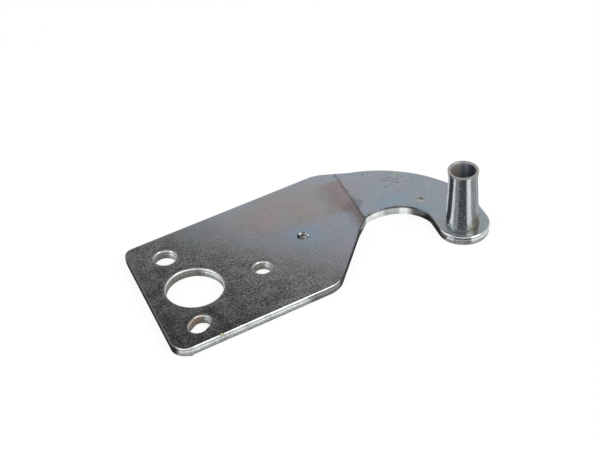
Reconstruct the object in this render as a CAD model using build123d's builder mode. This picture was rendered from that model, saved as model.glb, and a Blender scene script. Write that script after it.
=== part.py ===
from build123d import *
from math import acos, atan2, degrees, pi, tan
import os

# Fridge door hinge: a flat stamped plate with a gooseneck arm, and a hollow pin staked into the arm's end.
# Lengths are in millimetres. X and Y are measured from the pin's axis, X along the long edges of the plate
# towards the pin, and Z from the plate's upper face.

# Sheet, with the edge that the blanking punch leaves: rolled over above, smooth, then broken away below
SHEET = 3.18
ROLLOVER = 0.5
SMOOTH_BAND = 1.18
BREAK_INSET = 0.12

# Panel, the wide end that is screwed to the cabinet
FRONT_Y = -3.15
BACK_Y = 49.5
END_FRONT_X = -106.6
END_BACK_X = -98.8
END_FRONT_RADIUS = 5.0
END_BACK_RADIUS = 3.5
SHOULDER_X = -48.7
SHOULDER_RADIUS = 9.0
SLOPE_END = (-29.5, 15.85)

# Throat, the round bite between the panel and the arm, as two arcs that join without a corner
THROAT_CENTRE = (-20.1, 5.55)
CROWN_RADIUS = 15.1
SIDE_RADIUS = 12.35
CROWN_START_ANGLE = 105.8
CROWN_END_ANGLE = 61.5
SIDE_END_ANGLE = 5.0
NECK_RADIUS = 5.0

# Outer side of the arm, an arc centred below the back edge, with a bevel up to that edge
ARM_CENTRE_X = -30.04
ARM_CENTRE_DROP = 44.34
ARM_RADIUS = 41.36
ARM_START_ANGLE = 6.6
ARM_END_ANGLE = 70.2
FLANK_RADIUS = 12.0
BEVEL_X = -26.2
BEVEL_RADIUS = 12.0

# Holes in the panel
CABLE_HOLE = (-87.65, 20.75)
CABLE_HOLE_RADIUS = 9.15
UPPER_HOLE = (-88.7, 39.0)
UPPER_HOLE_RADIUS = 3.55
SCREW_HOLE = (-65.25, 17.05)
SCREW_HOLE_RADIUS = 2.85
SLOT = (-94.35, 4.8)
SLOT_WIDTH = 5.7
SLOT_LENGTH = 8.0
SLOT_ANGLE = 30.0
GAUGE_HOLE = (-46.5, 23.3)
GAUGE_HOLE_RADIUS = 1.5
GAUGE_HOLE_BEVEL = 0.5

# Crease pressed across the root of the arm
CREASE_BACK_X = -19.7
CREASE_OFFSET = 0.7
CREASE_WIDTH = 0.45
CREASE_DEPTH = 0.12

# Step on the front corner, where two cuts of the die meet below the rolled edge
STEP_PROUD = 0.22
STEP_RISE = 1.2
STEP_FALL = 0.7
STEP_ROOT = 0.6

# Pin
PIN_RADIUS = 4.76
PIN_WALL = 0.91
PIN_HEIGHT = 21.0
RIM_OUTER_BEVEL = 0.3
RIM_INNER_BEVEL = 0.25
TAPER_TOP = 13.5
TAPER_FOOT = 2.4
TAPER_GROWTH = 0.5
FOOT_FLARE = 0.27
FOOT_EDGE = 0.3

# Round end of the arm, which carries the pin
END_CENTRE = (0.45, 0.1)
END_LAND = 3.74

# Staked joint: the pin's shank passes through the plate and is spread into a countersink
SHANK_WALL = 0.75
STAKE_SPREAD = 1.0
STAKE_DEPTH = 1.0
STAKE_WALL = 0.35
STAKE_GAP = 0.03

bore_radius = PIN_RADIUS - PIN_WALL
shank_radius = bore_radius + SHANK_WALL
stake_radius = shank_radius + STAKE_SPREAD
taper_radius = PIN_RADIUS + TAPER_GROWTH
foot_radius = taper_radius + FOOT_FLARE
end_radius = PIN_RADIUS + END_LAND
arm_centre = (ARM_CENTRE_X, BACK_Y - ARM_CENTRE_DROP)

os.makedirs("parts", exist_ok=True)


def touching_angle(point, centre, radius, turn):
    """Where round a circle a line from a point outside it touches, turned left (1) or right (-1) of the point."""
    reach = Vector(point) - Vector(centre)
    return degrees(atan2(reach.Y, reach.X) + turn * acos(radius / reach.length))


def upright_edge(builder, x, y):
    """The edge through the sheet that stands nearest to a corner of the outline."""
    return builder.edges().filter_by(Axis.Z).sort_by_distance((x, y, -SHEET / 2))[0]


# Plate
with BuildPart() as hinge_plate:
    with BuildSketch(Plane.XY.offset(-SHEET)):
        with BuildLine():
            crown = CenterArc(THROAT_CENTRE, CROWN_RADIUS, CROWN_START_ANGLE, CROWN_END_ANGLE - CROWN_START_ANGLE)
            inward = (Vector(THROAT_CENTRE) - crown @ 1).normalized()
            side_centre = crown @ 1 + inward * SIDE_RADIUS
            side = CenterArc(side_centre, SIDE_RADIUS, CROWN_END_ANGLE, SIDE_END_ANGLE - CROWN_END_ANGLE)
            arm_back = CenterArc(arm_centre, ARM_RADIUS, ARM_START_ANGLE, ARM_END_ANGLE - ARM_START_ANGLE)
            neck_angle = touching_angle(side @ 1, END_CENTRE, end_radius, 1)
            flank_angle = touching_angle(arm_back @ 0, END_CENTRE, end_radius, -1)
            round_end = CenterArc(END_CENTRE, end_radius, neck_angle, 360 + flank_angle - neck_angle)
            Line(side @ 1, round_end @ 0)
            Line(round_end @ 1, arm_back @ 0)
            Polyline(
                arm_back @ 1,
                (BEVEL_X, BACK_Y),
                (END_BACK_X, BACK_Y),
                (END_FRONT_X, FRONT_Y),
                (SHOULDER_X, FRONT_Y),
                SLOPE_END,
                crown @ 0,
            )
        make_face()
    extrude(amount=SHEET)

    neck_corner = side @ 1
    flank_corner = arm_back @ 0
    fillet(upright_edge(hinge_plate, END_FRONT_X, FRONT_Y), END_FRONT_RADIUS)
    fillet(upright_edge(hinge_plate, END_BACK_X, BACK_Y), END_BACK_RADIUS)
    fillet(upright_edge(hinge_plate, SHOULDER_X, FRONT_Y), SHOULDER_RADIUS)
    fillet(upright_edge(hinge_plate, BEVEL_X, BACK_Y), BEVEL_RADIUS)
    fillet(upright_edge(hinge_plate, neck_corner.X, neck_corner.Y), NECK_RADIUS)
    fillet(upright_edge(hinge_plate, flank_corner.X, flank_corner.Y), FLANK_RADIUS)

    with Locations(CABLE_HOLE):
        Hole(CABLE_HOLE_RADIUS)
    with Locations(UPPER_HOLE):
        Hole(UPPER_HOLE_RADIUS)
    with Locations(SCREW_HOLE):
        Hole(SCREW_HOLE_RADIUS)
    with BuildSketch():
        with Locations(SLOT):
            SlotOverall(SLOT_LENGTH, SLOT_WIDTH, rotation=SLOT_ANGLE)
    extrude(amount=-SHEET, mode=Mode.SUBTRACT)

    # Edges left by the punch
    fillet(hinge_plate.faces().sort_by(Axis.Z)[-1].edges(), ROLLOVER)
    with Locations(GAUGE_HOLE):
        CounterSinkHole(GAUGE_HOLE_RADIUS, GAUGE_HOLE_RADIUS + GAUGE_HOLE_BEVEL, SHEET, 90)
    underside = hinge_plate.faces().sort_by(Axis.Z)[0]
    break_height = SHEET - ROLLOVER - SMOOTH_BAND
    chamfer(underside.outer_wire().edges(), BREAK_INSET, break_height, reference=underside)

    # Step where the front corner runs into the front edge
    end_lean = atan2(END_BACK_X - END_FRONT_X, BACK_Y - FRONT_Y)
    step_x = END_FRONT_X + END_FRONT_RADIUS / tan((pi / 2 - end_lean) / 2)
    with BuildSketch(Plane.XY.offset(-SHEET)):
        with BuildLine():
            Polyline(
                (step_x - STEP_FALL, FRONT_Y + STEP_ROOT),
                (step_x - STEP_FALL - STEP_RISE, FRONT_Y + STEP_ROOT),
                (step_x - STEP_FALL, FRONT_Y - STEP_PROUD),
                (step_x, FRONT_Y + BREAK_INSET),
                (step_x, FRONT_Y + STEP_ROOT),
                close=True,
            )
        make_face()
    extrude(amount=break_height + SMOOTH_BAND)

    # Crease from the back of the arm to the corner of the throat
    crease_foot = crown @ 0 - Vector(CREASE_OFFSET, 0)
    crease_back = Vector(CREASE_BACK_X, BACK_Y)
    along = crease_back - crease_foot
    crease_section = Plane(origin=crease_foot, x_dir=along.cross(Vector(0, 0, 1)), z_dir=along)
    with BuildSketch(crease_section):
        with BuildLine():
            Polyline(
                (-CREASE_WIDTH / 2, 0),
                (0, -CREASE_DEPTH),
                (CREASE_WIDTH / 2, 0),
                close=True,
            )
        make_face()
    extrude(amount=along.length, mode=Mode.SUBTRACT)

    # Seat of the pin's shank
    stake_angle = 2 * degrees(atan2(STAKE_SPREAD, STAKE_DEPTH))
    with Locations(Plane(origin=(0, 0, -SHEET), z_dir=(0, 0, -1))):
        CounterSinkHole(shank_radius + STAKE_GAP, stake_radius + STAKE_GAP, SHEET, stake_angle)

hinge_plate.part.label = "hinge_plate"
export_step(hinge_plate.part, "parts/hinge_plate.step")

# Pin
with BuildPart() as hinge_pin:
    with BuildSketch(Plane.XZ):
        with BuildLine():
            taper = Line((PIN_RADIUS, TAPER_TOP), (taper_radius, TAPER_FOOT))
            flare = TangentArc(taper @ 1, (foot_radius, FOOT_EDGE), tangent=taper % 1)
            Polyline(
                flare @ 1,
                (foot_radius, 0),
                (shank_radius, 0),
                (shank_radius, STAKE_DEPTH - SHEET),
                (stake_radius, -SHEET),
                (stake_radius - STAKE_WALL, -SHEET),
                (bore_radius, STAKE_DEPTH + STAKE_WALL - SHEET),
                (bore_radius, PIN_HEIGHT - RIM_INNER_BEVEL),
                (bore_radius + RIM_INNER_BEVEL, PIN_HEIGHT),
                (PIN_RADIUS - RIM_OUTER_BEVEL, PIN_HEIGHT),
                (PIN_RADIUS, PIN_HEIGHT - RIM_OUTER_BEVEL),
                taper @ 0,
            )
        make_face()
    revolve(axis=Axis.Z)

hinge_pin.part.label = "hinge_pin"
export_step(hinge_pin.part, "parts/hinge_pin.step")
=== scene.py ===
# Fridge door hinge: a plated steel plate with a gooseneck arm, and a hollow pin staked into the arm's end.
# Blender works in metres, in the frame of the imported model. All but the lamps is laid out here in
# millimetres.

from math import cos, pi, radians, sin

import bpy
from mathutils import Matrix, Vector


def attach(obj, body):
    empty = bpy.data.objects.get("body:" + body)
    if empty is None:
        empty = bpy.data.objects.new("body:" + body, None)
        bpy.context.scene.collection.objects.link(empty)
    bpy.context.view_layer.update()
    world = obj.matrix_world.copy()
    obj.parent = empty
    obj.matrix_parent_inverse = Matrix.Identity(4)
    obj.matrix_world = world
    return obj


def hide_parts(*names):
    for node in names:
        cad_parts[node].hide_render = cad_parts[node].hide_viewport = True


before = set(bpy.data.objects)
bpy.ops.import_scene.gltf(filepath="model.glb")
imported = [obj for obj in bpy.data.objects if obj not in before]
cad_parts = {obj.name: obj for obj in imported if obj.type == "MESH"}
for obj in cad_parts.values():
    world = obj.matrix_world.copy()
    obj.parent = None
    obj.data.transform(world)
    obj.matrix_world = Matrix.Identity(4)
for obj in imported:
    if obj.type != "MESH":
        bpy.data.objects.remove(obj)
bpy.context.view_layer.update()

MM = 0.001

# Sheet, and bands on its edges as heights from the upper face: a painted highlight, then those that the
# blanking punch leaves
SHEET_THICKNESS = 3.18
ROLLOVER_DEPTH = 0.5
HIGHLIGHT_BAND = (-0.66, -0.25)
DULL_BAND = (-0.98, -0.76)
BURNISHED_BAND = (-1.64, -1.08)

# Pin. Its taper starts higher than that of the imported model, as far up as the photograph shows it
PIN_RADIUS = 4.76
PIN_HEIGHT = 21.0
BORE_RADIUS = 3.85
TAPER_TOP = 16.8
TAPER_FOOT = 2.4
TAPER_RADIUS = 5.26
FOOT_RADIUS = 5.53
FOOT_EDGE = 0.3
FLARE_STEPS = 6
SHANK_RADIUS = 4.6
STAKE_RADIUS = 5.6
STAKE_DEPTH = 1.0
STAKE_WALL = 0.35

# Small lip that facing the tube has pushed out at the pin's mouth, and the height over which it fades into
# the tube. Corners of the mouth are given beyond the bore's radius and below the top, and those of the lip
# beyond the lip's own radius. The knee is given beyond the tube's radius, and as a share of the fade
LIP_RADIUS = 5.0
LIP_HEIGHT = 0.7
LIP_FADE = 2.6
MOUTH_CORNERS = [(0, 1.6), (0.16, 0.35), (0.36, 0.06), (0.46, 0)]
LIP_CORNERS = [(-0.18, 0), (-0.05, 0.06), (0, 0.2), (-0.02, LIP_HEIGHT)]
LIP_KNEE = (0.05, 0.55)

# Fineness of the turned piece: sides, length of a step along its section, and least angle of a sharp edge
PIN_SIDES = 144
PIN_STEP = 0.4
SHARP_ANGLE = 40

# Holes of the plate, as all patches below: middle, half sizes and turn in degrees
PUNCHED_HOLES = [
    ((-87.65, 20.75), (9.15, 9.15), 0),
    ((-88.7, 39.0), (3.55, 3.55), 0),
    ((-65.25, 17.05), (2.85, 2.85), 0),
    ((-94.35, 4.8), (4.0, 2.85), 30),
]
GAUGE_HOLE = ((-46.5, 23.3), (1.5, 1.5), 0)

# Side to which the lit streak in each hole faces, where the walls get no painted shade
STREAK_FACING = (-0.93, -0.37)

# Patches of the plate's faces and edges
WARM_PATCH = ((-42, 38), (23, 11), -8)
GAUGE_PATCH = (GAUGE_HOLE[0], (7.5, 7.5), 0)
GREEN_PATCH = ((-2.4, 34.0), (3.6, 2.4), 0)
RUST_HALO = ((-4.4, 17.4), (2.4, 1.6), -50)
THROAT = ((-20.1, 5.5), (16.5, 16.5), 0)
THROAT_DULL = ((-14.5, 19.5), (3.0, 3.0), 0)
NECK = ((-7.0, 7.5), (3.4, 8.5), 15)
NICK = ((-90.9, -3.3), (0.7, 0.5), 0)

# Small blemishes on the arm
FAINT_MARKS = [
    ((-8.5, 33.4), (0.35, 1.1), 20),
    ((-6.6, 33.6), (0.55, 0.45), 0),
    ((-6.0, 31.5), (0.5, 0.4), 0),
    ((-5.7, 30.0), (1.1, 0.4), -30),
    ((-4.5, 31.4), (0.35, 0.9), 10),
    ((-2.3, 31.6), (0.5, 0.35), 0),
    ((-2.9, 33.1), (0.45, 0.5), 0),
    ((-12.6, 40.2), (0.45, 0.45), 0),
    ((-10.0, 29.8), (0.7, 0.5), 0),
]
RUST_SPECKS = [
    ((-4.0, 17.9), (0.75, 0.5), -50),
    ((-5.2, 18.8), (0.35, 0.3), 0),
    ((-3.5, 16.6), (0.55, 0.25), -63),
]

# Ends of the crease across the root of the arm
CREASE_FOOT = (-24.91, 20.08)
CREASE_BACK = (-19.7, 49.5)

# Direction across the plate in which the plating pales, partly painted reflection, and its greys at
# distances along it
PALING_AND_REFLECTION = (0.796, 0.606)
PLATE_GREYS = {
    -80: 0.055,
    -68: 0.070,
    -58: 0.098,
    -48: 0.126,
    -40: 0.147,
    -32: 0.200,
    -22: 0.240,
    -8: 0.268,
    10: 0.284,
}

# Stain on the pin low down on its front side: middle, and how far from it the stain fades out and is full
PIN_STAIN_PLACE = (1.8, -5.1, 1.2)
PIN_STAIN_FADE = (4.6, 1.5)

# Direction across the bore, from its grey side to its blue one
ACROSS_BORE = (0.86, -0.51)


def neutral(shade):
    """A grey, as a colour."""
    return (shade, shade, shade, 1)


# Films of the plating and of painted shade: each multiplies the colour below it
COOL_FILM = (0.97, 1.07, 1.22, 1)
TEAL_FILM = (0.90, 1.05, 1.08, 1)
LILAC_FILM = (1.08, 0.99, 1.04, 1)
WARM_FILM = (1.07, 0.97, 0.93, 1)
BLUE_FILM = (0.86, 1.04, 1.20, 1)
GREEN_FILM = (1.08, 1.12, 0.95, 1)
OLIVE_FILM = (0.96, 0.94, 0.82, 1)
DARK_END = neutral(0.80)
SLOT_RUST = (1.05, 0.84, 0.74, 1)
MAUVE_STAIN = (0.84, 0.70, 0.68, 1)
BROWN_STAIN = (0.74, 0.62, 0.55, 1)
GREY_STAIN = (0.72, 0.72, 0.70, 1)
CREASE_SHADE = (0.36, 0.34, 0.31, 1)
FAINT_MARK = (0.66, 0.69, 0.72, 1)
SHADED_FOOT = (0.55, 0.56, 0.57, 1)
SHADED_END = (0.16, 0.16, 0.17, 1)
SHADED_NECK = neutral(0.16)
DULL_PATCH = neutral(0.55)
PIN_SPECKS = (0.60, 0.58, 0.55, 1)
PIN_STAIN = (0.62, 0.55, 0.42, 1)
PIN_FOOT_SHADE = (0.40, 0.38, 0.34, 1)

# Colours laid over the plating
PALE_ZINC_AND_HIGHLIGHT = (0.620, 0.640, 0.650, 1)
ROLLED_ZINC = (0.500, 0.520, 0.530, 1)
DULL_LINE = (0.230, 0.240, 0.245, 1)
BURNISHED_ZINC_AND_HIGHLIGHT = (0.900, 0.930, 0.930, 1)
FRACTURE_GREY = (0.400, 0.420, 0.415, 1)
NICK_TAN = (0.420, 0.380, 0.290, 1)
HOLE_SHADE_OLIVE = (0.150, 0.148, 0.130, 1)
RUST_OLIVE = (0.070, 0.075, 0.066, 1)
PALE_HALO = (0.400, 0.400, 0.370, 1)
TUBE_ZINC = (0.700, 0.760, 0.800, 1)
TUBE_ZINC_DARK = (0.560, 0.590, 0.610, 1)
CUT_RIM = (0.330, 0.320, 0.310, 1)
BORE_GREY = (0.300, 0.280, 0.255, 1)
BORE_BLUE = (0.180, 0.195, 0.260, 1)

# Places of the colour sockets in Blender's Mix node
MIX_SHARE = 0
MIX_UNDER = 6
MIX_OVER = 7
MIX_RESULT = 2


class Socket:
    """An output of a node. Arithmetic on it adds Math nodes to the same finish."""

    def __init__(self, finish, output):
        self.finish = finish
        self.output = output

    def maths(self, operation, *terms):
        """Adds a Math node, with numbers or other outputs as its terms."""
        return self.finish.node("Math", {"operation": operation}, dict(enumerate(terms)))

    def __add__(self, other):
        return self.maths("ADD", self, other)

    def __radd__(self, other):
        return self.maths("ADD", other, self)

    def __sub__(self, other):
        return self.maths("SUBTRACT", self, other)

    def __rsub__(self, other):
        return self.maths("SUBTRACT", other, self)

    def __mul__(self, other):
        return self.maths("MULTIPLY", self, other)

    def __rmul__(self, other):
        return self.maths("MULTIPLY", other, self)

    def __truediv__(self, other):
        return self.maths("DIVIDE", self, other)

    def __neg__(self):
        return self.maths("MULTIPLY", self, -1)

    def __abs__(self):
        return self.maths("ABSOLUTE", self)

    def root(self):
        return self.maths("SQRT", self)

    def at_most(self, other):
        return self.maths("MINIMUM", self, other)

    def at_least(self, other):
        return self.maths("MAXIMUM", self, other)

    def rise(self, low, high):
        """Goes smoothly from 0 at low to 1 at high. With low above high it falls instead."""
        if low > high:
            return 1 - self.rise(high, low)
        settings = {"interpolation_type": "SMOOTHSTEP"}
        return self.finish.node("MapRange", settings, {"Value": self, "From Min": low, "From Max": high})

    def band(self, low, high, soft):
        """1 between low and high, with edges that fade over a soft width."""
        return self.rise(low - soft, low) * self.rise(high + soft, high)


def set_stops(ramp, stops):
    """Gives a colour ramp its stops, from a list of colours at their places from 0 to 1."""
    while len(ramp.elements) < len(stops):
        ramp.elements.new(1)
    for element, (at, colour) in zip(ramp.elements, sorted(stops.items())):
        element.position = at
        element.color = colour


class Finish:
    """The nodes of one material, or of the studio's surroundings."""

    def __init__(self, owner):
        self.owner = owner
        owner.use_nodes = True
        self.tree = owner.node_tree
        self.tree.nodes.clear()

    def node(self, kind, settings=None, inputs=None, output=0):
        """Adds a node of that kind. Its settings come first, then the values or links of its sockets."""
        made = self.tree.nodes.new("ShaderNode" + kind)
        for name, value in (settings or {}).items():
            if name == "stops":
                set_stops(made.color_ramp, value)
            else:
                setattr(made, name, value)
        for name, value in (inputs or {}).items():
            if isinstance(value, Socket):
                self.tree.links.new(value.output, made.inputs[name])
            else:
                made.inputs[name].default_value = value
        return Socket(self, made.outputs[output] if made.outputs else None)

    def axes(self):
        """The point on the hinge in millimetres, and its X, Y and Z."""
        spot = self.node("TexCoord", output="Object")
        scaled = self.scaled(spot, 1 / MM)
        return scaled, [self.node("SeparateXYZ", inputs={0: scaled}, output=axis) for axis in range(3)]

    def facing(self):
        """The way that the surface faces, as X, Y and Z. Z is 1 on top, 0 on a wall and -1 underneath."""
        normal = self.node("NewGeometry", output="Normal")
        return [self.node("SeparateXYZ", inputs={0: normal}, output=axis) for axis in range(3)]

    def scaled(self, colour, factor):
        """A colour made that many times as bright, or a vector made that many times as long."""
        return self.node("VectorMath", {"operation": "SCALE"}, {0: colour, "Scale": factor})

    def tint(self, under, over, share):
        """Lays a colour over another. Share says where and how strongly."""
        inputs = {MIX_SHARE: share, MIX_UNDER: under, MIX_OVER: over}
        return self.node("Mix", {"data_type": "RGBA"}, inputs, output=MIX_RESULT)

    def film(self, under, film, share):
        """Lets a thin film tint what is under it, by multiplying its colour."""
        settings = {"data_type": "RGBA", "blend_type": "MULTIPLY"}
        inputs = {MIX_SHARE: share, MIX_UNDER: under, MIX_OVER: film}
        return self.node("Mix", settings, inputs, output=MIX_RESULT)

    def greys(self, value, shades):
        """A grey for each value, from a list of greys at some of the values."""
        start, end = min(shades), max(shades)
        share = self.node("MapRange", inputs={"Value": value, "From Min": start, "From Max": end})
        stops = {(at - start) / (end - start): neutral(shade) for at, shade in shades.items()}
        return self.node("ValToRGB", {"stops": stops}, {"Fac": share})

    def grain(self, place, per_mm, detail=2.0, roughness=0.5, stretch=(1, 1, 1), seed=0.0):
        """Cloudy noise from 0 to 1, mostly near 0.5, with that many cells in a millimetre on each axis."""
        scale = tuple(per_mm * share for share in stretch)
        moved = self.node("Mapping", inputs={"Vector": place, "Location": (seed,) * 3, "Scale": scale})
        inputs = {"Vector": moved, "Scale": 1.0, "Detail": detail, "Roughness": roughness}
        return self.node("TexNoise", inputs=inputs)

    def bump(self, height, distance, strength=1.0, under=None):
        """Relief of that many millimetres, laid over another relief where one is given."""
        inputs = {"Height": height, "Distance": distance * MM, "Strength": strength}
        if under is not None:
            inputs["Normal"] = under
        return self.node("Bump", inputs=inputs)

    def shade(self, **sockets):
        """The shader itself, with its sockets by name, underscores standing for spaces."""
        inputs = {name.replace("_", " "): value for name, value in sockets.items()}
        return self.node("BsdfPrincipled", inputs=inputs)

    def cover(self, shader, kind="OutputMaterial"):
        """Makes the shader the surface, and gives back the material or the surroundings."""
        self.node(kind, inputs={"Surface": shader})
        return self.owner


def oval(x, y, centre, radii, turn=0):
    """How far a point is from the middle of an oval on the plate: 0 there, and 1 on the oval's rim."""
    turned = Matrix.Rotation(-radians(turn), 2)
    along = ((x - centre[0]) * turned[0][0] + (y - centre[1]) * turned[0][1]) / radii[0]
    across = ((x - centre[0]) * turned[1][0] + (y - centre[1]) * turned[1][1]) / radii[1]
    return (along * along + across * across).root()


def distance(x, y, z, place):
    """How far a point of the hinge is from a place on it, in millimetres."""
    gaps = [axis - at for axis, at in zip((x, y, z), place)]
    return (gaps[0] * gaps[0] + gaps[1] * gaps[1] + gaps[2] * gaps[2]).root()


def strongest(masks):
    """The largest of several masks at each point."""
    found = masks[0]
    for mask in masks[1:]:
        found = found.at_least(mask)
    return found


def marks(x, y, places, soft):
    """1 on any of the small ovals in a list, fading out round them."""
    return strongest([oval(x, y, *place).rise(1 + soft, 1 - soft) for place in places])


def hole_share(holes, x, y, reach):
    """1 at the walls of the holes, falling to 0 at that many millimetres beyond their rolled rims."""
    shares = []
    for centre, radii, turn in holes:
        beyond = (oval(x, y, centre, radii, turn) - 1) * radii[1]
        shares.append(beyond.rise(ROLLOVER_DEPTH + reach, ROLLOVER_DEPTH))
    return strongest(shares)


def plate_face(steel, place, x, y, z):
    """Flat faces of the plate: dark and mottled at the wide end, paler on the arm, with stains on top.

    Gives back colour, roughness and relief, and the patchy noise that the edges share.
    """
    fine = steel.grain(place, 2.4, 3.0, 0.6)
    flecks = steel.grain(place, 1.35, 5.0, 0.72, seed=11.0)
    clouds = steel.grain(place, 0.11, 3.0, 0.55, seed=4.0)
    broad = steel.grain(place, 0.07, 2.0, 0.5, seed=9.0)
    patches = steel.grain(place, 0.22, 3.0, 0.6, seed=7.0)
    wisps = steel.grain(place, 0.8, 3.0, 0.6, seed=8.0)
    ragged = (steel.grain(place, 0.42, 3.0, 0.6, seed=5.0) - 0.5) * 5
    from_pin = (x * x + y * y).root()

    # How far the plating has paled from the dark wide end to the arm, partly the plating and partly
    # painted reflection
    paling_and_reflection = x * PALING_AND_REFLECTION[0] + y * PALING_AND_REFLECTION[1] + (clouds - 0.5) * 9
    colour = steel.greys(paling_and_reflection, PLATE_GREYS)

    # Films of the plating, each in its own part of the plate
    warm = oval(x + ragged, y, *WARM_PATCH).rise(1.3, 0.5)
    colour = steel.film(colour, COOL_FILM, paling_and_reflection.rise(-44, -14) * (1 - warm * 0.85))
    colour = steel.film(colour, WARM_FILM, warm * (0.6 + broad.rise(0.35, 0.6) * 0.4))
    by_pin = from_pin.rise(17, 9)
    pale = paling_and_reflection.rise(-46, -20)
    colour = steel.film(colour, TEAL_FILM, (broad.rise(0.46, 0.30) * pale).at_least(by_pin * 0.3))
    colour = steel.film(colour, OLIVE_FILM, from_pin.rise(9.5, 6.5))
    colour = steel.film(colour, LILAC_FILM, broad.rise(0.52, 0.70) * pale * (1 - by_pin))
    # The wide end darker still, partly the plating and partly painted reflection
    colour = steel.film(colour, DARK_END, x.rise(-58, -84))
    colour = steel.film(colour, BLUE_FILM, oval(x, y, *GAUGE_PATCH).rise(1.2, 0.3) * 0.6)
    colour = steel.film(colour, GREEN_FILM, oval(x + ragged * 0.2, y, *GREEN_PATCH).rise(1.3, 0.4))

    # Crystals of the plating: flecks that show most where the plate is dark
    depth = 1.0 - paling_and_reflection.rise(-58, -27) * 0.87
    crystals = (flecks - 0.5) * 8 + (fine - 0.5) * 4.5 + (patches - 0.5) * 1.6
    colour = steel.scaled(colour, (1 + crystals * depth).at_least(0.35))
    veins = abs(steel.grain(place, 0.5, 5.0, 0.75, seed=14.0) - 0.5).rise(0.04, 0.0)
    colour = steel.tint(colour, PALE_ZINC_AND_HIGHLIGHT, veins * patches.rise(0.4, 0.6) * depth * 0.16)

    # Stains beside the crease, darkest against it: how far away from it, and how far along it
    run = Vector(CREASE_BACK) - Vector(CREASE_FOOT)
    side = Vector((run.y, -run.x)).normalized()
    away = (x - CREASE_FOOT[0]) * side.x + (y - CREASE_FOOT[1]) * side.y + ragged * 0.12
    along = (x - CREASE_FOOT[0]) * run.x / run.length + (y - CREASE_FOOT[1]) * run.y / run.length
    on_top = z.rise(-1.8, -1.2)
    before = away.rise(0.3, -0.2) * on_top
    mauve = (away + ragged * 0.9).rise(-12, -3.5) * (along + ragged).band(7, 20, 4) * before
    colour = steel.film(colour, MAUVE_STAIN, mauve * (0.45 + wisps).at_most(1))
    brown = (away + ragged * 0.6).rise(-6.5, -1.2) * (along + ragged * 0.8).rise(13, 5) * before
    colour = steel.film(colour, BROWN_STAIN, brown * (0.35 + wisps).at_most(1))
    at_throat = (away + ragged * 0.4).rise(-3.5, -0.3) * along.rise(6, 2) * before
    colour = steel.film(colour, BROWN_STAIN, at_throat)

    # The crease itself with painted shade along it, and the grey stain that spreads from it over the arm
    spread = away - (1 - abs(along - 8.5) / 4.0) * 3.2 + ragged * 0.12
    over_arm = spread.rise(0.6, -0.6) * away.rise(-0.4, 0.2) * along.band(4.0, 13.0, 1.5)
    colour = steel.film(colour, GREY_STAIN, over_arm * on_top)
    shade_breaks = (wisps * 1.4 - 0.1).at_least(0)
    on_crease = abs(away + ragged * 0.1).rise(0.6, 0.1) * along.rise(31, 28) * shade_breaks
    colour = steel.film(colour, CREASE_SHADE, on_crease * on_top)

    # Small blemishes of the arm
    faint = marks(x + ragged * 0.1, y + ragged * 0.06, FAINT_MARKS, 0.6)
    colour = steel.film(colour, FAINT_MARK, faint * on_top)
    halo = oval(x + ragged * 0.3, y, *RUST_HALO).rise(1.25, 0.5)
    colour = steel.tint(colour, PALE_HALO, halo * on_top * 0.6)
    rust = marks(x + ragged * 0.1, y + ragged * 0.1, RUST_SPECKS, 0.4) * on_top
    colour = steel.tint(colour, RUST_OLIVE, rust * 0.9)

    # Gloss, which is highest round the pin
    roughness = 0.29 + depth * 0.13 + rust * 0.3 - from_pin.rise(11, 7) * 0.16
    roughness = roughness + (clouds - 0.5) * 0.1 + (fine - 0.5) * 0.08

    # The sheet is drawn down a little round each hole, where the punch went in
    relief = steel.bump((fine - 0.5) + (flecks - 0.5) * 0.8, 0.012, 0.4)
    relief = steel.bump(-hole_share(PUNCHED_HOLES, x, y, 1.4), 0.2, 1.0, relief)
    return colour, roughness, relief, patches


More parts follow.
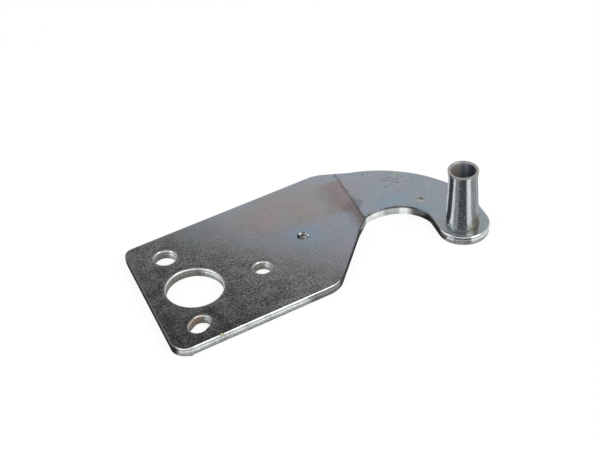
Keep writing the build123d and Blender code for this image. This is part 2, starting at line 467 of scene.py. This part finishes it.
def plate_finish():
    """Zinc plate with its stains, and round it the bands of a punched edge."""
    steel = Finish(bpy.data.materials.new("plate_steel_zinc"))
    place, (x, y, z) = steel.axes()
    colour, roughness, relief, patches = plate_face(steel, place, x, y, z)
    facing = steel.facing()
    wall = abs(facing[2]).rise(0.95, 0.65)
    level = (facing[0] * facing[0] + facing[1] * facing[1]).root().at_least(0.01)
    streaks = steel.grain(place, 1.0, 2.0, 0.6, stretch=(3.2, 3.2, 0.25), seed=2.0)
    streaky = streaks.rise(0.3, 0.6) * 0.4
    torn = steel.grain(place, 1.3, 3.0, 0.6, stretch=(1, 1, 0.6), seed=6.0)
    wander = z + (patches - 0.5) * 0.12

    # Punched edge, from the top: rollover with a painted highlight, a dull line, burnished band, then the
    # torn fracture
    rolled = wall * z.rise(-0.75, -0.6)
    painted_highlight = wall * z.band(*HIGHLIGHT_BAND, 0.12)
    dull_line = wall * wander.band(*DULL_BAND, 0.1)
    burnished = wall * wander.band(*BURNISHED_BAND, 0.12)
    fracture = wall * wander.rise(BURNISHED_BAND[0] + 0.05, BURNISHED_BAND[0] - 0.2)
    hole_rim = hole_share(PUNCHED_HOLES, x, y, 0.1) * z.rise(-0.6, -0.3)
    colour = steel.tint(colour, ROLLED_ZINC, rolled.at_least(hole_rim * 0.35))
    colour = steel.tint(colour, BURNISHED_ZINC_AND_HIGHLIGHT, burnished * (0.6 + streaky))
    colour = steel.tint(colour, BURNISHED_ZINC_AND_HIGHLIGHT, painted_highlight)
    colour = steel.tint(colour, DULL_LINE, dull_line * 0.95)
    colour = steel.tint(colour, FRACTURE_GREY, fracture)
    colour = steel.scaled(colour, 1 + fracture * (torn - 0.5) * 1.6)
    colour = steel.film(colour, SHADED_FOOT, wall * z.rise(-2.45, -2.75))

    # In the throat only the rolled edge is dark, and all below it is bright but for a dull patch
    in_throat = wall * oval(x, y, *THROAT).rise(1.06, 1.0) * y.rise(13, 16)
    colour = steel.tint(colour, BURNISHED_ZINC_AND_HIGHLIGHT, in_throat * z.rise(-0.6, -0.8) * (0.5 + streaky))
    colour = steel.film(colour, SHADED_NECK, in_throat * z.rise(-0.65, -0.45))
    colour = steel.film(colour, DULL_PATCH, in_throat * oval(x, y, *THROAT_DULL).rise(1.1, 0.6))

    # The walls of the holes get painted shade, but for a lit streak down one side of each; the gauge
    # hole's far rim gets painted shade too
    in_hole = wall * hole_share(PUNCHED_HOLES + [GAUGE_HOLE], x, y, 0.3)
    streak = (facing[0] * STREAK_FACING[0] + facing[1] * STREAK_FACING[1]) / level
    olive_shade = in_hole * z.rise(-0.45, -0.65) * streak.rise(1.0, 0.85)
    colour = steel.tint(colour, HOLE_SHADE_OLIVE, olive_shade * 0.9)
    in_slot = in_hole * x.rise(-90, -91) * y.rise(11, 10)
    colour = steel.film(colour, SLOT_RUST, in_slot * streak.rise(0.9, 0.7))
    colour = steel.scaled(colour, 1 + in_hole * (streaks - 0.5) * 0.9)
    gauge_rim_shade = hole_share([GAUGE_HOLE], x, y, 0.3) * (facing[1] / level).rise(0.2, -0.3)
    colour = steel.film(colour, SHADED_NECK, wall * gauge_rim_shade * z.rise(-0.9, -0.6))

    # The outer walls are dark at the wide end, along the slope into the throat and on the neck
    to_end = (facing[0] / level).rise(-0.80, -0.93) * x.rise(-90, -96)
    to_slope = ((facing[0] - facing[1]) / level).rise(1.30, 1.38) * x.band(-50, -26, 4)
    colour = steel.film(colour, SHADED_END, wall * to_end.at_least(to_slope))
    colour = steel.film(colour, SHADED_NECK, wall * oval(x, y, *NECK).rise(1.25, 0.9))
    colour = steel.film(colour, DULL_PATCH, wall * patches.rise(0.50, 0.36) * 0.5)

    # A nick in the rolled edge near the slotted hole
    nick = oval(x, y, *NICK).rise(1.3, 0.7) * z.rise(-1.1, -0.7)
    colour = steel.tint(colour, NICK_TAN, nick)
    relief = steel.bump(-nick, 0.2, 1.0, relief)

    roughness = roughness - rolled * 0.14 + fracture * 0.15
    relief = steel.bump(streaks * burnished, 0.02, 0.5, relief)
    relief = steel.bump(torn * fracture, 0.05, 0.6, relief)
    return steel.cover(steel.shade(Base_Color=colour, Roughness=roughness, Metallic=0.95, Normal=relief))


def pin_finish():
    """Brighter zinc on a drawn tube, with fine specks, a dull cut rim, a stain and painted shade at its
    foot, and a bore painted with shade and reflection.
    """
    steel = Finish(bpy.data.materials.new("pin_steel_zinc"))
    place, (x, y, z) = steel.axes()
    draw_marks = steel.grain(place, 1.0, 2.0, 0.6, stretch=(2.4, 2.4, 0.08), seed=3.0)
    specks = steel.grain(place, 2.3, 4.0, 0.7, seed=5.0)
    colour = steel.tint(TUBE_ZINC, TUBE_ZINC_DARK, draw_marks.rise(0.40, 0.70))
    colour = steel.film(colour, PIN_SPECKS, specks.rise(0.58, 0.40) * 0.5)

    # A stain low down on one side, and painted shade all round the foot
    stain = (distance(x, y, z, PIN_STAIN_PLACE) + (specks - 0.5) * 3).rise(*PIN_STAIN_FADE)
    colour = steel.film(colour, PIN_STAIN, stain)
    colour = steel.film(colour, PIN_FOOT_SHADE, z.rise(1.1, 0.1) * 0.8)

    # The rim where the tube was cut
    cut_rim = z.rise(PIN_HEIGHT - 0.45, PIN_HEIGHT - 0.15)
    colour = steel.tint(colour, CUT_RIM, cut_rim * (0.75 + specks * 0.4).at_most(1))

    # The bore, darkened with painted shade
    # Painted reflection makes it grey on one side and blue on the other, with a painted highlight between
    # and painted shade in the far corner
    bore = (x * x + y * y).root().rise(BORE_RADIUS + 0.35, BORE_RADIUS + 0.15)
    across = x * ACROSS_BORE[0] + y * ACROSS_BORE[1]
    inside = steel.tint(BORE_GREY, BORE_BLUE, across.rise(-1.0, 0.4))
    inside = steel.tint(inside, PALE_ZINC_AND_HIGHLIGHT, across.band(1.3, 1.4, 0.5) * 0.3)
    inside = steel.film(inside, SHADED_END, across.rise(1.6, 3.0) * 0.8)
    colour = steel.tint(colour, inside, bore)

    # Gloss, duller on the specks, and the relief of the specks and the draw marks
    roughness = 0.16 + (specks - 0.5) * 0.12 + stain * 0.15 + cut_rim * 0.2 + bore * 0.3
    metallic = 1 - bore * 0.7 - specks.rise(0.56, 0.64) * 0.3
    relief = steel.bump(specks, 0.018, 0.8)
    relief = steel.bump(draw_marks, 0.01, 0.4, relief)
    shader = steel.shade(Base_Color=colour, Roughness=roughness, Metallic=metallic, Normal=relief)
    return steel.cover(shader)


def pin_profile():
    """Half section of the pin as radius and height, from the taper's top down outside and up the bore."""
    outside = [(PIN_RADIUS, TAPER_TOP), (TAPER_RADIUS, TAPER_FOOT)]
    for step in range(1, FLARE_STEPS + 1):
        share = step / FLARE_STEPS
        radius = TAPER_RADIUS + (FOOT_RADIUS - TAPER_RADIUS) * share**2
        outside.append((radius, TAPER_FOOT + (FOOT_EDGE - TAPER_FOOT) * share))
    shank = [(FOOT_RADIUS, 0), (SHANK_RADIUS, 0), (SHANK_RADIUS, STAKE_DEPTH - SHEET_THICKNESS)]
    stake = [
        (STAKE_RADIUS, -SHEET_THICKNESS),
        (STAKE_RADIUS - STAKE_WALL, -SHEET_THICKNESS),
        (BORE_RADIUS, STAKE_DEPTH + STAKE_WALL - SHEET_THICKNESS),
    ]
    mouth = [(BORE_RADIUS + out, PIN_HEIGHT - down) for out, down in MOUTH_CORNERS]
    lip = [(LIP_RADIUS + out, PIN_HEIGHT - down) for out, down in LIP_CORNERS]
    knee_out, knee_share = LIP_KNEE
    lip_foot = PIN_HEIGHT - LIP_HEIGHT
    lip.append((PIN_RADIUS + knee_out, lip_foot - LIP_FADE * knee_share))
    lip.append((PIN_RADIUS, lip_foot - LIP_FADE))
    return outside + shank + stake + mouth + lip


def finely(profile, step):
    """The same closed section with no side longer than a step, so that gloss runs true along the piece."""
    points = []
    for start, end in zip(profile, profile[1:] + profile[:1]):
        gap = Vector(end) - Vector(start)
        pieces = max(1, round(gap.length / step))
        points += [tuple(Vector(start) + gap * (piece / pieces)) for piece in range(pieces)]
    return points


def turned_pin():
    """The pin as a finely turned piece, in the place of its CAD solid."""
    profile = finely(pin_profile(), PIN_STEP)
    count = len(profile)
    corners = []
    faces = []
    for side in range(PIN_SIDES):
        turn = 2 * pi * side / PIN_SIDES
        corners += [(radius * cos(turn) * MM, radius * sin(turn) * MM, z * MM) for radius, z in profile]
        here, beyond = side * count, (side + 1) % PIN_SIDES * count
        for step in range(count):
            after = (step + 1) % count
            faces.append((here + step, here + after, beyond + after, beyond + step))
    mesh = bpy.data.meshes.new("turned_hinge_pin")
    mesh.from_pydata(corners, [], faces)
    mesh.polygons.foreach_set("use_smooth", [True] * len(faces))
    mesh.set_sharp_from_angle(angle=radians(SHARP_ANGLE))
    piece = bpy.data.objects.new("turned_hinge_pin", mesh)
    bpy.context.scene.collection.objects.link(piece)
    mesh.materials.append(pin_finish())
    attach(piece, "root")
    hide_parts("hinge_pin")


# Camera where the photograph was taken from, with the nearest and farthest that it sees
CAMERA_PLACE = Vector((-231.88, -314.29, 309.80)) * MM
CAMERA_RIGHT = Vector((0.85589, -0.51457, -0.05166))
CAMERA_DOWN = Vector((-0.35512, -0.51216, -0.78203))
CAMERA_FORWARD = Vector((0.37595, 0.68768, -0.62109))
LENS = 91.58
SENSOR_WIDTH = 36
NEAREST = 10
FARTHEST = 10000

# Lamps in metres and watts, all aimed at the middle of the hinge: name, place, width and power
HINGE_MIDDLE = (-0.05, 0.02, 0)
LAMPS = [
    ("soft_box_right", (0.21, -0.41, 0.45), 0.36, 1.5),
    ("soft_box_left", (-0.62, 0.10, 0.42), 0.26, 0.6),
]

# Surroundings: greys of the air and of the ceiling, and the heights between which the ceiling sets in. The
# horizon is at 0 and straight up is 1
AIR_GREY = 0.8
CEILING_GREY = 0.52
CEILING_START = (0.74, 0.86)

# Floor: its grey, the share of plain white over it where it is seen directly, its corners and its height
FLOOR_GREY = 0.86
FLOOR_WHITENESS = 0.88
FLOOR_CORNERS = [(-3000, -3000), (3000, -3000), (3000, 3000), (-3000, 3000)]
FLOOR_LEVEL = -SHEET_THICKNESS - 0.02

# Grey cards on the floor that fan out from the pin: bearings in degrees from the camera's, reach and greys
CAMERA_BEARING = 233.6
CARD_LEVEL = 0.05 - SHEET_THICKNESS
FLOOR_CARDS = [
    ("card_left", -56, -26, (11.3, 60), 0.30),
    ("card_centre", -26, 27, (11.3, 60), 0.08),
    ("card_right", 56, 110, (11.3, 60), 0.34),
    ("card_back", 114, 150, (11.3, 60), 0.42),
    ("card_end", -25, 25, (8.8, 11.2), 0.42),
]

# The same just above the plate. They are clear from below, so that only the pin reflects them
RAISED_LEVEL = 0.1
RAISED_CARDS = [
    ("card_over_throat", -112, -72, (6.5, 40), 0.04),
    ("card_over_neck", -150, -122, (6.5, 40), 0.80),
    ("card_over_arm", -178, -154, (6.5, 40), 0.03),
]

# Grey cards on the floor beside the plate, for its edges: corners and greys
EDGE_CARDS = [
    ("card_wide_end", [(-106.0, -2.0), (-111.0, -2.0), (-103.5, 51.0), (-98.5, 51.0)], 0.07),
    ("card_neck", [(-6.2, 12.5), (-8.0, -1.0), (-10.5, -2.0), (-10.0, 12.5)], 0.08),
    ("card_slope", [(-45.6, 0.1), (-44.3, -1.1), (-25.8, 17.4), (-27.1, 18.6)], 0.06),
]


def seen_directly(finish):
    """1 for what the camera sees, also in gloss or through glass, and 0 for light that falls on things."""
    rays = ("Is Camera Ray", "Is Glossy Ray", "Is Transmission Ray")
    return strongest([finish.node("LightPath", output=ray) for ray in rays])


def flat_sheet(name, corners, shader_of):
    """A flat stage piece with the given corners in millimetres and its own finish."""
    mesh = bpy.data.meshes.new(name)
    mesh.from_pydata([Vector(corner) * MM for corner in corners], [], [tuple(range(len(corners)))])
    sheet = bpy.data.objects.new(name, mesh)
    bpy.context.scene.collection.objects.link(sheet)
    board = Finish(bpy.data.materials.new(name))
    mesh.materials.append(board.cover(shader_of(board)))
    return sheet


def glow(board, shade):
    """Even light of that grey."""
    return board.node("Emission", inputs={"Color": neutral(shade), "Strength": 1.0})


def clear_from_below(board, upper_side):
    """The same shader on the upper side of a sheet, and nothing at all on its underside."""
    from_below = board.node("NewGeometry", output="Backfacing")
    clear = board.node("BsdfTransparent")
    return board.node("MixShader", inputs={0: from_below, 1: upper_side, 2: clear})


def floor_paper(board):
    """White to the eye and in gloss, under a light shadow of the hinge."""
    direct = seen_directly(board)
    paper = board.shade(Base_Color=board.tint(neutral(FLOOR_GREY), neutral(1), direct), Roughness=1.0)
    white = board.node("MixShader", inputs={0: direct * FLOOR_WHITENESS, 1: paper, 2: glow(board, 1)})
    return clear_from_below(board, white)


def grey_card(name, corners, shade, raised=False):
    """A card for the steel to reflect. The camera doesn't see it and it casts no shadow."""

    def card_shader(board):
        light = glow(board, shade)
        return clear_from_below(board, light) if raised else light

    card = flat_sheet(name, corners, card_shader)
    card.visible_camera = False
    card.visible_diffuse = False
    card.visible_shadow = False


def sector(start, end, inner, outer):
    """Corners of a card that fans out from the pin between two bearings from the camera's, face up."""
    spread = [radians(CAMERA_BEARING + bearing) for bearing in (start, (start + end) / 2, end)]
    near = [(inner * cos(bearing), inner * sin(bearing)) for bearing in reversed(spread)]
    far = [(outer * cos(bearing), outer * sin(bearing)) for bearing in spread]
    return near + far


def at_level(corners, level):
    """Corners given as X and Y, all at one height."""
    return [(x, y, level) for x, y in corners]


def soft_box(name, place, width, power):
    """A square studio lamp that looks at the middle of the hinge."""
    lamp = bpy.data.lights.new(name, "AREA")
    lamp.size = width
    lamp.energy = power
    stand = bpy.data.objects.new(name, lamp)
    stand.location = place
    stand.rotation_euler = (Vector(HINGE_MIDDLE) - Vector(place)).to_track_quat("-Z", "Y").to_euler()
    bpy.context.scene.collection.objects.link(stand)


def surroundings():
    """White all round, with a greyer ceiling that only gloss picks up."""
    world = bpy.data.worlds.new("studio")
    bpy.context.scene.world = world
    air = Finish(world)
    direction = air.node("TexCoord", output="Generated")
    height = air.node("SeparateXYZ", inputs={0: direction}, output=2)
    ceiling = height.rise(*CEILING_START) * air.node("LightPath", output="Is Glossy Ray")
    white = air.tint(neutral(AIR_GREY), neutral(1), seen_directly(air))
    colour = air.tint(white, neutral(CEILING_GREY), ceiling)
    air.cover(air.node("Background", inputs={"Color": colour, "Strength": 1.0}), "OutputWorld")


def studio():
    """White floor and surroundings, lamps, and the grey cards that the steel reflects."""
    flat_sheet("floor", at_level(FLOOR_CORNERS, FLOOR_LEVEL), floor_paper)
    surroundings()
    for lamp in LAMPS:
        soft_box(*lamp)
    for name, start, end, reach, shade in FLOOR_CARDS:
        grey_card(name, at_level(sector(start, end, *reach), CARD_LEVEL), shade)
    for name, start, end, reach, shade in RAISED_CARDS:
        grey_card(name, at_level(sector(start, end, *reach), RAISED_LEVEL), shade, raised=True)
    for name, corners, shade in EDGE_CARDS:
        grey_card(name, at_level(corners, CARD_LEVEL), shade)


def camera():
    """The camera, with the photograph's angle and framing."""
    view = bpy.data.cameras.new("camera")
    view.lens = LENS
    view.sensor_width = SENSOR_WIDTH
    view.clip_start = NEAREST * MM
    view.clip_end = FARTHEST * MM
    stand = bpy.data.objects.new("camera", view)
    turn = Matrix((CAMERA_RIGHT, -CAMERA_DOWN, -CAMERA_FORWARD)).transposed()
    stand.matrix_world = Matrix.Translation(CAMERA_PLACE) @ turn.to_4x4()
    bpy.context.scene.collection.objects.link(stand)
    bpy.context.scene.camera = stand


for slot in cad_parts["hinge_plate"].material_slots:
    slot.material = plate_finish()
turned_pin()
studio()
camera()
bpy.context.scene.view_settings.view_transform = "Standard"
